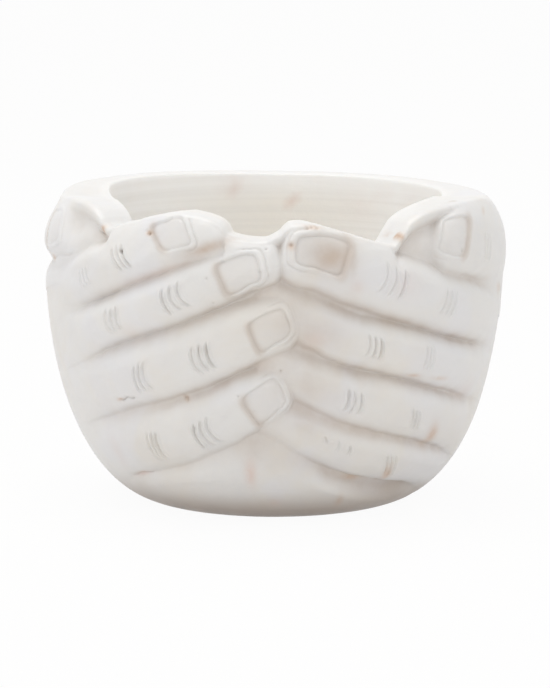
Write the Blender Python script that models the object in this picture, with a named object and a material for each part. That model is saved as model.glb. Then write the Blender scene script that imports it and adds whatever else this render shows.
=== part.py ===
# A bowl carved from one piece of white marble: a turned bowl that two hands hold from the sides.
# Eight fingers meet at the front, where the left finger tips lie over the right ones, and a thumb
# lies on each shoulder. The back is the plain turned wall.
# Sizes are in millimetres and angles in degrees until the mesh is written in metres.
# An azimuth is measured round the bowl from the front, and grows towards +X.

import math

import bmesh
import bpy
import numpy as np

MILLIMETRE = 0.001

# The turned blank: a flat foot, a full belly, a rounded shoulder and a thick level rim
FOOT_RADIUS = 38.0
FOOT_SWEEP = 18.0
BELLY_RADIUS = 75.4
BELLY_HEIGHT = 80.0
BELLY_SWEEP = 52.0
SHOULDER_RISE = 11.0
SHOULDER_RUN = 5.0
RIM_OUTER_RADIUS = 68.5
RIM_INNER_RADIUS = 61.6
RIM_HEIGHT = 100.0
RIM_FALL = 1.4      # the hands' relief dies away over this height under the rim's edge
LIP_DROP = 1.8

# The hollow, a round basin over a small flat floor
HOLLOW_RADIUS = 59.5
HOLLOW_SWEEP = 42.0
FLOOR_HEIGHT = 13.0
FLOOR_RADIUS = 14.0
FLOOR_SWEEP = 32.0

# The rim line by azimuth, as heights over RIM_HEIGHT: it climbs over the finger tips and dips
# between them, and stands a little higher behind the left thumb
RIM_LINE = [
    (-180, 0.4), (-165, 0.8), (-150, 1.2), (-130, 1.5), (-112, 1.5), (-100, 1.0), (-90, 0.2),
    (-78, 0.8), (-68, 1.9), (-62, 1.9), (-57, 1.0), (-53.5, -0.4), (-51, -2.4), (-49, -4.6),
    (-47.4, -5.2), (-44, -4.0), (-40.8, -2.8), (-37.7, -1.9), (-34.7, -0.7), (-31.9, 0.1),
    (-29, 0.7), (-26.5, 1.0), (-24, 1.3), (-21.4, 0.9), (-18.9, 0.4), (-16.5, -0.4), (-14.6, -1.4),
    (-13.3, -2.8), (-12.2, -5.0), (-10, -5.8), (-6, -6.4), (-3, -6.5), (0, -5.3), (1.6, -4.2),
    (2.8, -2.8), (4.5, -1.6), (7.0, -1.4), (11.4, -2.4), (16, -3.9), (21, -5.6), (26, -7.5),
    (29, -8.6), (31.6, -9.1), (34.4, -5.7), (37.3, -2.3), (39.5, -1.0), (42, 0.0), (46, 1.0),
    (50, 1.6), (58, 2.2), (66, 2.2), (78, 0.6), (92, -0.5), (120, -0.3), (150, 0.2), (180, 0.4),
]
RIM_LINE_FROM = 62.0    # only the wall above this height follows the rim line

# Rows along each finger up to its tip: azimuth, height, half width, how far the crest stands out.
# depth: how far the grooves lie under the crest. fade: azimuths between which the finger rises out
# of the plain wall, and fade_up the same for its upper edge. tip: length of the rounded end.
# open_top: azimuths between which the upper edge turns into the rim, as far as open_share says.
# crease: fillet where the finger meets its neighbours, if it differs from CREASE_RADIUS.
FINGERS = {
    "left_index": {
        "rows": [(-100, 65, 9, 0), (-72, 73, 9, 0), (-60, 76.9, 9, 0), (-50, 81.6, 9.4, 0),
                 (-40, 86.6, 9.4, 0), (-30, 91.2, 9.2, 0), (-22, 94.2, 8.6, 0), (-12, 96, 7.6, 0)],
        "depth": 4.6, "fade": (-80, -50), "fade_up": (-106, -76), "tip": 7.5, "open_top": (-47, -40),
    },
    "left_middle": {
        "rows": [(-100, 44, 8, 0), (-66, 55.4, 8, 0), (-45, 65.8, 8, 0), (-35, 70.6, 8.5, 0),
                 (-25, 75.5, 8.9, 0), (-15, 81.2, 8.8, 0), (-7, 85.6, 8.4, 0), (2.2, 88.6, 7.8, 0)],
        "depth": 4.5, "fade": (-70, -42), "tip": 7.0, "open_top": (-11, -8.5),
    },
    "left_ring": {
        "rows": [(-98, 28, 10, 0), (-64, 39, 10, 0), (-45, 46, 10.9, 0), (-35, 49.9, 11.2, 0),
                 (-25, 54.2, 11.2, 0), (-15, 59.5, 11, 0), (-6, 64.6, 10.6, 0), (6, 69.6, 9.4, 0)],
        "depth": 4.6, "fade": (-70, -42), "tip": 8.0,
    },
    "left_little": {
        "rows": [(-94, 10, 10, 0), (-60, 18.5, 12, 0), (-40, 24.4, 12.3, 0), (-30, 28.1, 12, 0),
                 (-20, 32.7, 11.1, 0), (-12, 37.5, 10.4, 0), (-5, 42.3, 10, 0), (4.2, 47.4, 9, 0)],
        "depth": 4.5, "fade": (-68, -40), "tip": 8.5,
    },
    "left_thumb": {
        "rows": [(-132, 87, 11, 0), (-116, 86.6, 11, 0), (-100, 86.8, 10.8, -0.3), (-88, 87.6, 10.6, -0.3),
                 (-78, 89.2, 10.4, 0.2), (-70, 90.8, 10.2, 0.6), (-62.5, 92.4, 9.4, -0.2)],
        "depth": 5.0, "fade": (-128, -100), "tip": 7.0, "open_top": (-67, -76), "open_share": 0.35,
        "crease": 2.6,
    },
    "right_index": {
        "rows": [(104, 56, 9, 0), (76, 62.4, 9.6, 0), (55, 68.6, 10.5, 0), (45, 72.1, 10.5, 0),
                 (36, 76.6, 11, 0), (28, 80.4, 11.4, 0), (20, 84, 11.2, 0), (11, 88, 10.6, 0),
                 (0.6, 89.4, 9, 0)],
        "depth": 4.6, "fade": (84, 54), "fade_up": (104, 80), "tip": 8.0, "open_top": (30.5, 26),
    },
    "right_middle": {
        "rows": [(104, 35, 8.6, 0), (70, 44.4, 8.8, 0), (50, 50.5, 8.7, 0), (40, 54.3, 8.6, 0),
                 (30, 58, 8.7, -0.2), (20, 61.4, 8.8, -0.6), (12, 66, 8.9, -1.4), (4, 71.2, 9.4, -2.4),
                 (-6, 77, 9.4, -3.4)],
        "depth": 4.4, "fade": (80, 52), "tip": 8.0,
    },
    "right_ring": {
        "rows": [(102, 17, 9.6, 0), (70, 25.8, 9.6, 0), (50, 32.1, 9.5, 0), (40, 35.6, 9.7, 0),
                 (30, 39.1, 9.9, -0.2), (20, 42.5, 9.4, -0.6), (12, 46.6, 9, -1.3), (4, 51.6, 8.8, -2.3),
                 (-6, 57, 8.6, -3.3)],
        "depth": 4.4, "fade": (80, 52), "tip": 8.0,
    },
    "right_little": {
        "rows": [(92, 3.5, 8, 0), (66, 10.5, 8, 0), (48, 16, 8.4, 0), (40, 18, 8.8, 0),
                 (30, 20.8, 8.9, -0.2), (20, 24.2, 8.7, -0.5), (12, 28.2, 8.4, -1.1),
                 (4, 33.2, 8.3, -1.9), (-6, 39, 8.2, -2.8)],
        "depth": 4.2, "fade": (76, 50), "tip": 8.0,
    },
    "right_thumb": {
        "rows": [(118, 83, 10, 0), (100, 83, 10.5, 0.2), (84, 84, 10.5, 0.4), (74, 85.4, 11, 0.7),
                 (67, 86.8, 11.2, 1.2), (60, 88.4, 11, 1.5), (52, 90, 10.6, 1.3), (44, 91.4, 9.6, 0.2)],
        "depth": 5.0, "fade": (104, 78), "tip": 7.0, "open_top": (48, 56), "open_share": 0.5,
        "crease": 2.6,
    },
}

# Each nail is a sunk plate. back: from the finger's end to the nail's middle. up: from the finger's
# centre line. half: half its length and half its width. shear, lean and taper shape the plate,
# root and free say how deep its two ends lie.
NAILS = {
    "left_index": {"back": 19.6, "up": 2.0, "half": (5.4, 4.7), "shear": 0.3, "lean": 0.0,
                   "taper": 0.0, "root": 1.3, "free": 0.6},
    "left_middle": {"back": 14.6, "up": -1.0, "half": (6.5, 5.0), "shear": 0.0, "lean": 0.05,
                    "taper": 0.1, "root": 1.4, "free": 0.7},
    "left_ring": {"back": 9.9, "up": -0.6, "half": (6.1, 5.0), "shear": 0.05, "lean": 0.2,
                  "taper": 0.05, "root": 1.4, "free": 0.7},
    "left_little": {"back": 9.5, "up": -1.0, "half": (6.3, 5.4), "shear": 0.0, "lean": 0.28,
                    "taper": 0.1, "root": 1.4, "free": 0.6},
    "left_thumb": {"back": 13.0, "up": 1.6, "half": (6.4, 5.6), "shear": 0.1, "lean": 0.0,
                   "taper": 0.1, "root": 1.2, "free": 0.7},
    "right_index": {"back": 13.8, "up": 2.2, "half": (8.0, 5.4), "shear": 0.0, "lean": 0.0,
                    "taper": 0.16, "root": 1.7, "free": 1.3},
    "right_thumb": {"back": 7.6, "up": 1.6, "half": (5.4, 6.0), "shear": 0.25, "lean": 0.05,
                    "taper": 0.1, "root": 1.2, "free": 0.8},
}
NAIL_STEP = 0.16    # width of the plate's edge, as a share of its half size

# The thumbs press over the rim into the hollow: azimuth, spread in degrees, how far they reach in,
# and how much their top slopes down for each millimetre of that
THUMB_PADS = [(-84, 21, 7.4, 0.2), (80, 25, 6.0, 0.1)]
PAD_FROM = 55.0         # the pads swell out of the hollow's wall from this height
PAD_SWELL = 40.0        # and are full after this much more
PAD_TOP_FROM = 70.0     # their tops slope down from this height

# The ground that the fingers stand out of
GROUND_DEPTH = 3.6
GROOVE_DEPTH = 5.0
GROOVE_FROM = 30.0      # height where the ground begins to deepen
GROOVE_RISE = 25.0
GROUND_LEFT = (-70, -46)
GROUND_RIGHT = (80, 54)
GROUND_RIM_GAP = 0.6
GROUND_RIM_BAND = 3.0
CREASE_RADIUS = 0.9
SIDE_SLOPE = 1.3        # how steeply a finger's flank falls past its half width
END_POWER = 2.3         # how square a finger's end is
SECTION_POWER = 3.0     # how flat a finger's crest is
FLANK_SOFTNESS = 0.07   # 0 lets a finger's flank end upright, and more makes it softer

# Under the little fingers the ground comes back to the belly: azimuth and height of that hem, and
# the height over it where the ground has its full depth
HEM_LINE = [
    (-180, 1.5, 8), (-75, 3.0, 8), (-52.5, 8.3, 8), (-45, 9.8, 8), (-30, 13.2, 8), (-18, 14.5, 14),
    (-8, 12, 26), (0, 10, 28), (6, 11, 24), (12, 13.6, 14), (17, 12.8, 9), (26.6, 9.3, 8),
    (34, 7.6, 8), (44, 5.8, 8), (58, 3.1, 8), (75, 1.5, 8), (180, 1.5, 8),
]

# Beside each thumb's nail the ground is shallow: azimuth, height, spread in degrees, spread in
# height, and the share of the depth that is left out
SHALLOWS = [(-56, 93, 5, 6, 0.3), (41, 92, 6, 8, 0.35)]

# Broad soft hollows of the whole wall: azimuth, height, spread in degrees, spread in height, depth
SOFT_HOLLOWS = [(-61, 95.5, 5, 4.5, 2.2), (-88, 97, 22, 6, 1.4), (-90, 79.6, 24, 3.4, 2.5),
                (90, 97, 22, 6, 0.8), (90, 46, 34, 20, 0.7)]

# How finely the blank is cut, and how many triangles the carved mesh keeps
FRONT_ANGLE = 216.0
FRONT_STEPS = 216
BACK_STEPS = 36
PROFILE_STEP = 0.9
BELLY_POINTS = 400
SHOULDER_POINTS = 133
BASIN_POINTS = 50
LIP_POINTS = 6
FOOT_RINGS = 7
RIM_RINGS = 4
PATH_POINTS = 34
KEPT_TRIANGLES = 10400
FAR = 1e9
TOUCHING = 0.001       # points nearer than this are one point
WALL_REACH = 0.2       # points this far inside the profile still belong to the wall
OUT_WEIGHT = 0.14       # how much a height difference counts when the nearest path segment is chosen
COVER_AZIMUTH = 14.0    # a finger is looked for this far beyond its rows
COVER_HEIGHT = 24.0

MARBLE_COLOUR = (0.80, 0.775, 0.735, 1.0)
MARBLE_ROUGHNESS = 0.42


def ease(value):
    """Smooth step from 0 to 1."""
    value = np.clip(value, 0.0, 1.0)
    return value * value * (3.0 - 2.0 * value)


def bezier(start, start_handle, end_handle, end, count):
    t = np.linspace(0.0, 1.0, count)[:, None]
    corners = [np.array(point, float) for point in (start, start_handle, end_handle, end)]
    weights = ((1 - t) ** 3, 3 * (1 - t) ** 2 * t, 3 * (1 - t) * t ** 2, t ** 3)
    return sum(weight * corner for weight, corner in zip(weights, corners))


def smooth_through(x, y, where):
    """Monotone cubic through the points, so that it never overshoots them."""
    x = np.asarray(x, float)
    y = np.asarray(y, float)
    width = np.diff(x)
    slope = np.diff(y) / width
    tangent = np.zeros(len(x))
    tangent[0] = slope[0]
    tangent[-1] = slope[-1]
    product = slope[:-1] * slope[1:]
    before = 2 * width[1:] + width[:-1]
    after = width[1:] + 2 * width[:-1]
    blend = before * slope[1:] + after * slope[:-1]
    same_way = product > 0
    tangent[1:-1] = np.where(same_way, (before + after) * product / np.where(same_way, blend, 1.0), 0.0)
    k = np.clip(np.searchsorted(x, where) - 1, 0, len(x) - 2)
    t = np.clip((where - x[k]) / width[k], 0.0, 1.0)
    rise = t * t * (3 - 2 * t)
    return (y[k] * (1 - rise) + y[k + 1] * rise
            + tangent[k] * width[k] * t * (1 - t) ** 2 + tangent[k + 1] * width[k] * t * t * (t - 1))


def outer_profile():
    """Radius and height from the foot's edge up to the rim's outer edge."""
    belly = bezier((FOOT_RADIUS, 0), (FOOT_RADIUS + FOOT_SWEEP, 0),
                   (BELLY_RADIUS, BELLY_HEIGHT - BELLY_SWEEP), (BELLY_RADIUS, BELLY_HEIGHT),
                   BELLY_POINTS)
    shoulder = bezier((BELLY_RADIUS, BELLY_HEIGHT), (BELLY_RADIUS, BELLY_HEIGHT + SHOULDER_RISE),
                      (RIM_OUTER_RADIUS + SHOULDER_RUN, RIM_HEIGHT), (RIM_OUTER_RADIUS, RIM_HEIGHT),
                      SHOULDER_POINTS)
    return np.vstack([belly, shoulder[1:]])


def hollow_profile():
    """Radius and height from the rim's inner edge down to the axis."""
    lip_height = RIM_HEIGHT - LIP_DROP
    lip = bezier((RIM_INNER_RADIUS, RIM_HEIGHT), (HOLLOW_RADIUS, RIM_HEIGHT),
                 (HOLLOW_RADIUS, RIM_HEIGHT), (HOLLOW_RADIUS, lip_height), LIP_POINTS)
    basin = bezier((HOLLOW_RADIUS, lip_height), (HOLLOW_RADIUS, lip_height - HOLLOW_SWEEP),
                   (FLOOR_RADIUS + FLOOR_SWEEP, FLOOR_HEIGHT), (FLOOR_RADIUS, FLOOR_HEIGHT),
                   BASIN_POINTS)
    floor = [(FLOOR_RADIUS / 2, FLOOR_HEIGHT), (0.0, FLOOR_HEIGHT)]
    return np.vstack([lip, basin[1:], floor])


def even_steps(curve, step):
    run = np.concatenate([[0.0], np.cumsum(np.hypot(*np.diff(curve, axis=0).T))])
    at = np.linspace(0.0, run[-1], int(run[-1] / step) + 1)
    return np.column_stack([np.interp(at, run, curve[:, 0]), np.interp(at, run, curve[:, 1])])


OUTER = outer_profile()


def rim_top(azimuth):
    azimuths, rises = zip(*RIM_LINE)
    return RIM_HEIGHT + smooth_through(azimuths, rises, azimuth)


def rim_stretch(azimuth):
    return (rim_top(azimuth) - RIM_LINE_FROM) / (RIM_HEIGHT - RIM_LINE_FROM)


def follow_rim(azimuth, height):
    """Stretches the upper wall so that its top meets the rim line."""
    lifted = RIM_LINE_FROM + (height - RIM_LINE_FROM) * rim_stretch(azimuth)
    return np.where(height > RIM_LINE_FROM, lifted, height)


def wall_point(azimuth, height):
    """The point of the plain outer wall at this azimuth and real height."""
    lowered = RIM_LINE_FROM + (height - RIM_LINE_FROM) / rim_stretch(azimuth)
    radius = np.interp(np.where(height > RIM_LINE_FROM, lowered, height), OUTER[:, 1], OUTER[:, 0])
    angle = np.radians(azimuth)
    return np.column_stack([radius * np.sin(angle), -radius * np.cos(angle), height])


def soft_max(a, b, radius):
    """The larger of two heights, with a fillet where they cross."""
    radius = np.maximum(radius, TOUCHING)
    return np.maximum(a, b) + np.maximum(radius - np.abs(a - b), 0.0) ** 2 / (4 * radius)


def patch(azimuth, height, place):
    """1 at the middle of a soft round patch, and 0 far from it."""
    middle, level, spread, rise = place
    return np.exp(-((azimuth - middle) / spread) ** 2 - ((height - level) / rise) ** 2)


class Finger:
    """One finger's centre line over the wall, with the half width and crest along it."""

    def __init__(self, name):
        self.size = FINGERS[name]
        self.nail = NAILS.get(name)
        rows = np.array(self.size["rows"], float)
        self.lowest = rows.min(axis=0)
        self.highest = rows.max(axis=0)
        spacing = np.hypot(np.diff(rows[:, 0]) * math.radians(1) * BELLY_RADIUS, np.diff(rows[:, 1]))
        run = np.concatenate([[0.0], np.cumsum(spacing)])
        at = np.linspace(0.0, run[-1], PATH_POINTS)
        self.azimuth, height, self.half, self.crest = (smooth_through(run, rows[:, i], at) for i in range(4))
        self.points = wall_point(self.azimuth, height)
        lengths = np.linalg.norm(np.diff(self.points, axis=0), axis=1)
        self.run = np.concatenate([[0.0], np.cumsum(lengths)])
        self.heading = np.sign(rows[-1, 0] - rows[0, 0])

    def covers(self, azimuth, height):
        return ((azimuth > self.lowest[0] - COVER_AZIMUTH) & (azimuth < self.highest[0] + COVER_AZIMUTH)
                & (height > self.lowest[1] - COVER_HEIGHT) & (height < self.highest[1] + COVER_HEIGHT))

    def run_at(self, azimuth):
        return np.interp(azimuth * self.heading, self.azimuth * self.heading, self.run)

    def ramp(self, run, azimuths):
        start, end = (self.run_at(azimuth) for azimuth in azimuths)
        return ease((run - start) / (end - start))

    def place(self, points, normals):
        """Distance along the finger and distance above its centre line, over the wall."""
        nearest = np.full(len(points), FAR)
        along = np.zeros(len(points))
        across = np.zeros(len(points))
        last = len(self.points) - 2
        for i, start in enumerate(self.points[:-1]):
            length = self.run[i + 1] - self.run[i]
            direction = (self.points[i + 1] - start) / length
            reach = (points - start) @ direction
            reach = np.clip(reach, -FAR if i == 0 else 0.0, FAR if i == last else length)
            offset = points - start - reach[:, None] * direction
            out = (offset * normals).sum(axis=1)
            flat = offset - out[:, None] * normals
            distance = np.linalg.norm(flat, axis=1)
            measure = np.hypot(distance, OUT_WEIGHT * out)
            up = np.cross(direction, normals)
            above = np.sign((up * flat).sum(axis=1) * np.sign(up[:, 2]))
            closer = measure < nearest
            nearest = np.where(closer, measure, nearest)
            along = np.where(closer, self.run[i] + reach, along)
            across = np.where(closer, distance * above, across)
        return along, across

    def nail_depth(self, along, across):
        nail = self.nail
        x = along - self.run[-1] + nail["back"]
        y = across - nail["up"]
        u = (x + nail["shear"] * y) / nail["half"][0]
        v = (y - nail["lean"] * x) / (nail["half"][1] * (1 - nail["taper"] * np.clip(u, -1, 1)))
        edge = (u ** 4 + v ** 4) ** 0.25
        plate = ease((1 + NAIL_STEP / 2 - edge) / NAIL_STEP)
        forward = (np.clip(u, -1, 1) + 1) / 2
        return plate * (nail["root"] * (1 - forward) + nail["free"] * forward)

    def relief(self, points, normals):
        """Height of the finger's surface over the wall, and how far it has risen there."""
        along, across = self.place(points, normals)
        half = np.interp(along, self.run, self.half)
        crest = np.interp(along, self.run, self.crest)
        risen = self.ramp(along, self.size["fade"])
        if "fade_up" in self.size:
            risen = np.where(across > 0, self.ramp(along, self.size["fade_up"]), risen)
        side = across
        if "open_top" in self.size:
            opened = self.ramp(along, self.size["open_top"]) * self.size.get("open_share", 1.0)
            side = np.where(across > 0, across * (1 - opened), across)
        end = np.maximum(along - self.run[-1] + self.size["tip"], 0.0) / self.size["tip"]
        edge = (np.abs(side / half) ** END_POWER + end ** END_POWER) ** (1 / END_POWER)
        inner = (1 - FLANK_SOFTNESS) * np.minimum(edge, 1.0) ** SECTION_POWER
        fall = (1 - np.sqrt(1 - inner)) / (1 - math.sqrt(FLANK_SOFTNESS))
        surface = crest - self.size["depth"] * risen * fall
        surface = surface - np.maximum(edge - 1, 0.0) * half * SIDE_SLOPE
        if self.nail:
            surface = surface - self.nail_depth(along, across)
        return surface, risen


def ground_depth(azimuth, height):
    left = ease((azimuth - GROUND_LEFT[0]) / (GROUND_LEFT[1] - GROUND_LEFT[0]))
    right = ease((azimuth - GROUND_RIGHT[0]) / (GROUND_RIGHT[1] - GROUND_RIGHT[0]))
    side = np.where(azimuth < 0, left, right)
    under_rim = ease((rim_top(azimuth) - height - GROUND_RIM_GAP) / GROUND_RIM_BAND)
    azimuths, hems, bands = zip(*HEM_LINE)
    hem = smooth_through(azimuths, hems, azimuth)
    over_hem = ease((height - hem) / smooth_through(azimuths, bands, azimuth))
    depth = GROUND_DEPTH + (GROOVE_DEPTH - GROUND_DEPTH) * ease((height - GROOVE_FROM) / GROOVE_RISE)
    for *place, share in SHALLOWS:
        depth = depth * (1 - share * patch(azimuth, height, place))
    return side * under_rim * over_hem * depth


def carving(points, normals, azimuth, height):
    surface = -ground_depth(azimuth, height)
    for name in FINGERS:
        finger = Finger(name)
        near = finger.covers(azimuth, height)
        relief, risen = finger.relief(points[near], normals[near])
        crease = finger.size.get("crease", CREASE_RADIUS)
        surface[near] = soft_max(surface[near], relief, crease * risen)
    for *place, depth in SOFT_HOLLOWS:
        surface = surface - depth * patch(azimuth, height, place)
    return surface


def spin_blank():
    """The turned blank as a mesh in millimetres: one closed body of revolution."""
    flat = [(radius, 0.0) for radius in np.linspace(0.0, FOOT_RADIUS, FOOT_RINGS + 1)[:-1]]
    outer = even_steps(OUTER, PROFILE_STEP)
    top = [(radius, RIM_HEIGHT)
           for radius in np.linspace(RIM_OUTER_RADIUS, RIM_INNER_RADIUS, RIM_RINGS + 2)[1:-1]]
    profile = np.vstack([flat, outer, top, hollow_profile()])
    bm = bmesh.new()
    start = math.radians(-FRONT_ANGLE / 2)
    ring = [bm.verts.new((radius * math.sin(start), -radius * math.cos(start), height))
            for radius, height in profile]
    edges = [bm.edges.new(pair) for pair in zip(ring[:-1], ring[1:])]
    turned = ring + edges
    for angle, steps in ((FRONT_ANGLE, FRONT_STEPS), (360 - FRONT_ANGLE, BACK_STEPS)):
        turned = bmesh.ops.spin(bm, geom=turned, cent=(0, 0, 0), axis=(0, 0, 1),
                                angle=math.radians(angle), steps=steps)["geom_last"]
    bmesh.ops.remove_doubles(bm, verts=bm.verts, dist=TOUCHING)
    bmesh.ops.recalc_face_normals(bm, faces=bm.faces)
    mesh = bpy.data.meshes.new("hand_bowl")
    bm.to_mesh(mesh)
    bm.free()
    return mesh


def carve(mesh):
    """Moves the blank's vertices: the rim line first, then the hands along the wall's normals."""
    points = np.empty(len(mesh.vertices) * 3)
    normals = np.empty(len(mesh.vertices) * 3)
    mesh.vertices.foreach_get("co", points)
    mesh.vertices.foreach_get("normal", normals)
    points = points.reshape(-1, 3)
    normals = normals.reshape(-1, 3)
    azimuth = np.degrees(np.arctan2(points[:, 0], -points[:, 1]))
    radius = np.hypot(points[:, 0], points[:, 1])
    blank_height = points[:, 2].copy()
    wall_radius = np.interp(blank_height, OUTER[:, 1], OUTER[:, 0])
    on_wall = (blank_height > TOUCHING) & (radius > wall_radius - WALL_REACH)
    on_wall = on_wall & (blank_height < RIM_HEIGHT - TOUCHING)
    in_hollow = (blank_height > FLOOR_HEIGHT - 1) & ~on_wall
    points[:, 2] = follow_rim(azimuth, blank_height)

    cut = np.zeros(len(points))
    cut[on_wall] = carving(points[on_wall], normals[on_wall], azimuth[on_wall], points[on_wall, 2])
    cut = cut * ease((RIM_HEIGHT - blank_height) / RIM_FALL)
    points += normals * cut[:, None]

    across_rim = ease((RIM_OUTER_RADIUS - radius) / (RIM_OUTER_RADIUS - HOLLOW_RADIUS))
    swell = np.where(in_hollow, across_rim * ease((blank_height - PAD_FROM) / PAD_SWELL), 0.0)
    top = ease((blank_height - PAD_TOP_FROM) / (RIM_HEIGHT - PAD_TOP_FROM))
    inwards = np.zeros(len(points))
    for middle, spread, reach, fall in THUMB_PADS:
        pad = reach * swell * np.exp(-((azimuth - middle) / spread) ** 2)
        inwards += pad
        points[:, 2] -= pad * fall * top
    points[:, :2] *= (1 - inwards / np.maximum(radius, 1.0))[:, None]

    mesh.vertices.foreach_set("co", (points * MILLIMETRE).ravel())
    mesh.update()


def make_marble():
    material = bpy.data.materials.new("marble")
    material.use_nodes = True
    shader = material.node_tree.nodes["Principled BSDF"]
    shader.inputs["Base Color"].default_value = MARBLE_COLOUR
    shader.inputs["Roughness"].default_value = MARBLE_ROUGHNESS
    shader.inputs["Metallic"].default_value = 0.0
    return material


def make_bowl():
    mesh = spin_blank()
    carve(mesh)
    mesh.materials.append(make_marble())
    mesh.shade_smooth()
    bowl = bpy.data.objects.new("hand_bowl", mesh)
    bpy.context.scene.collection.objects.link(bowl)
    triangles = sum(len(polygon.vertices) - 2 for polygon in mesh.polygons)
    fewer = bowl.modifiers.new("fewer", "DECIMATE")
    fewer.decimate_type = "COLLAPSE"
    fewer.ratio = KEPT_TRIANGLES / triangles
    return bowl


for leftover in list(bpy.data.objects):
    bpy.data.objects.remove(leftover, do_unlink=True)
make_bowl()
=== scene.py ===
# The marble bowl with two carved hands, dressed and lit for the studio.
# Lengths are in millimetres and angles in degrees until a mesh is written in metres.
# An azimuth is measured round the bowl from the front and grows towards the viewer's right.
import math

import bpy
import numpy as np
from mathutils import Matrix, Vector


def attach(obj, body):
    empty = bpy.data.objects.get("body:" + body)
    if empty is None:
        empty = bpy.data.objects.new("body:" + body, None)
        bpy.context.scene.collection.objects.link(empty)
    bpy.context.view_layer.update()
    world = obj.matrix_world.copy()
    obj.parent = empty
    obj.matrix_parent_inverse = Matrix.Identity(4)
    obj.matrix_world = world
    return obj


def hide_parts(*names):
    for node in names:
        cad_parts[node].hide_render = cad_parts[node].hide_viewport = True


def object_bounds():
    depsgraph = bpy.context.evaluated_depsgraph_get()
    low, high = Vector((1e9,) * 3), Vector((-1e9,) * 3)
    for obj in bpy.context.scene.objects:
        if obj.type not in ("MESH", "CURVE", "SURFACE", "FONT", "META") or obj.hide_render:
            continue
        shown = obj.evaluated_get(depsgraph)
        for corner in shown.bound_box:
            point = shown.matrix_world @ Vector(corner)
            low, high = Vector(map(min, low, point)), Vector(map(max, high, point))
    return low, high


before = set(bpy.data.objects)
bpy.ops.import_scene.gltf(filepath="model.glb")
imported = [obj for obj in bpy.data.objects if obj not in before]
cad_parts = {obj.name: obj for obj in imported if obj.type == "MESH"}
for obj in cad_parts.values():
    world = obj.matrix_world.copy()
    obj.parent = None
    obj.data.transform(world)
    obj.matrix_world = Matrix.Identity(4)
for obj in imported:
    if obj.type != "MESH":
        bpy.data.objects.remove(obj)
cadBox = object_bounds()
mm = 0.001

# the turned blank, as outline handles of its belly, shoulder, lip and basin
blank = {
    "footRadius": 38.0, "footSweep": 18.0,
    "bellyRadius": 75.4, "bellyHeight": 80.0, "bellySweep": 52.0,
    "shoulderRise": 11.0, "shoulderRun": 5.0,
    "rimOuter": 68.5, "rimInner": 61.6, "rimHeight": 100.0, "rimFall": 1.4, "lipDrop": 1.8,
    "hollowRadius": 59.5, "hollowSweep": 42.0,
    "floorHeight": 13.0, "floorRadius": 14.0, "floorSweep": 32.0,
}

wallDegree = math.radians(1) * blank["bellyRadius"]     # length of one degree round the belly
footHubRadius = 8.0
outlinePoints = {"belly": 400, "shoulder": 133, "lip": 7, "basin": 34, "foot": 5, "rim": 7}
footRegion, wallRegion, rimRegion, hollowRegion = range(4)
touching = 0.01         # rows lower than this stand on the floor

# azimuth and rise of the rim over rimHeight: up over the finger tips, down between them
rimLine = [
    (-180, 0.4), (-165, 0.8), (-150, 1.2), (-130, 1.5), (-112, 1.5), (-100, 1.0), (-90, 0.2),
    (-78, 0.8), (-68, 1.9), (-62, 1.9), (-57, 1.0), (-53.5, -0.4), (-51, -2.4), (-49, -4.6),
    (-47.4, -5.2), (-44, -4.0), (-40.8, -2.8), (-37.7, -1.9), (-34.7, -0.7), (-31.9, 0.1),
    (-29, 0.7), (-26.5, 1.0), (-24, 1.3), (-21.4, 0.9), (-18.9, 0.4), (-16.5, -0.4), (-14.6, -1.4),
    (-13.3, -2.8), (-12.2, -5.0), (-10, -5.8), (-6, -6.4), (-3, -6.5), (0, -5.3), (1.6, -4.2),
    (2.8, -2.8), (4.5, -1.6), (7.0, -1.4), (11.4, -2.4), (16, -3.9), (21, -5.6), (26, -7.5),
    (29, -8.6), (31.6, -9.1), (34.4, -5.7), (37.3, -2.3), (39.5, -1.0), (42, 0.0), (46, 1.0),
    (50, 1.6), (58, 2.2), (66, 2.2), (78, 0.6), (92, -0.5), (120, -0.3), (150, 0.2), (180, 0.4),
]
rimLineFrom = 62.0      # the wall above this height is stretched to meet the rim line

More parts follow.
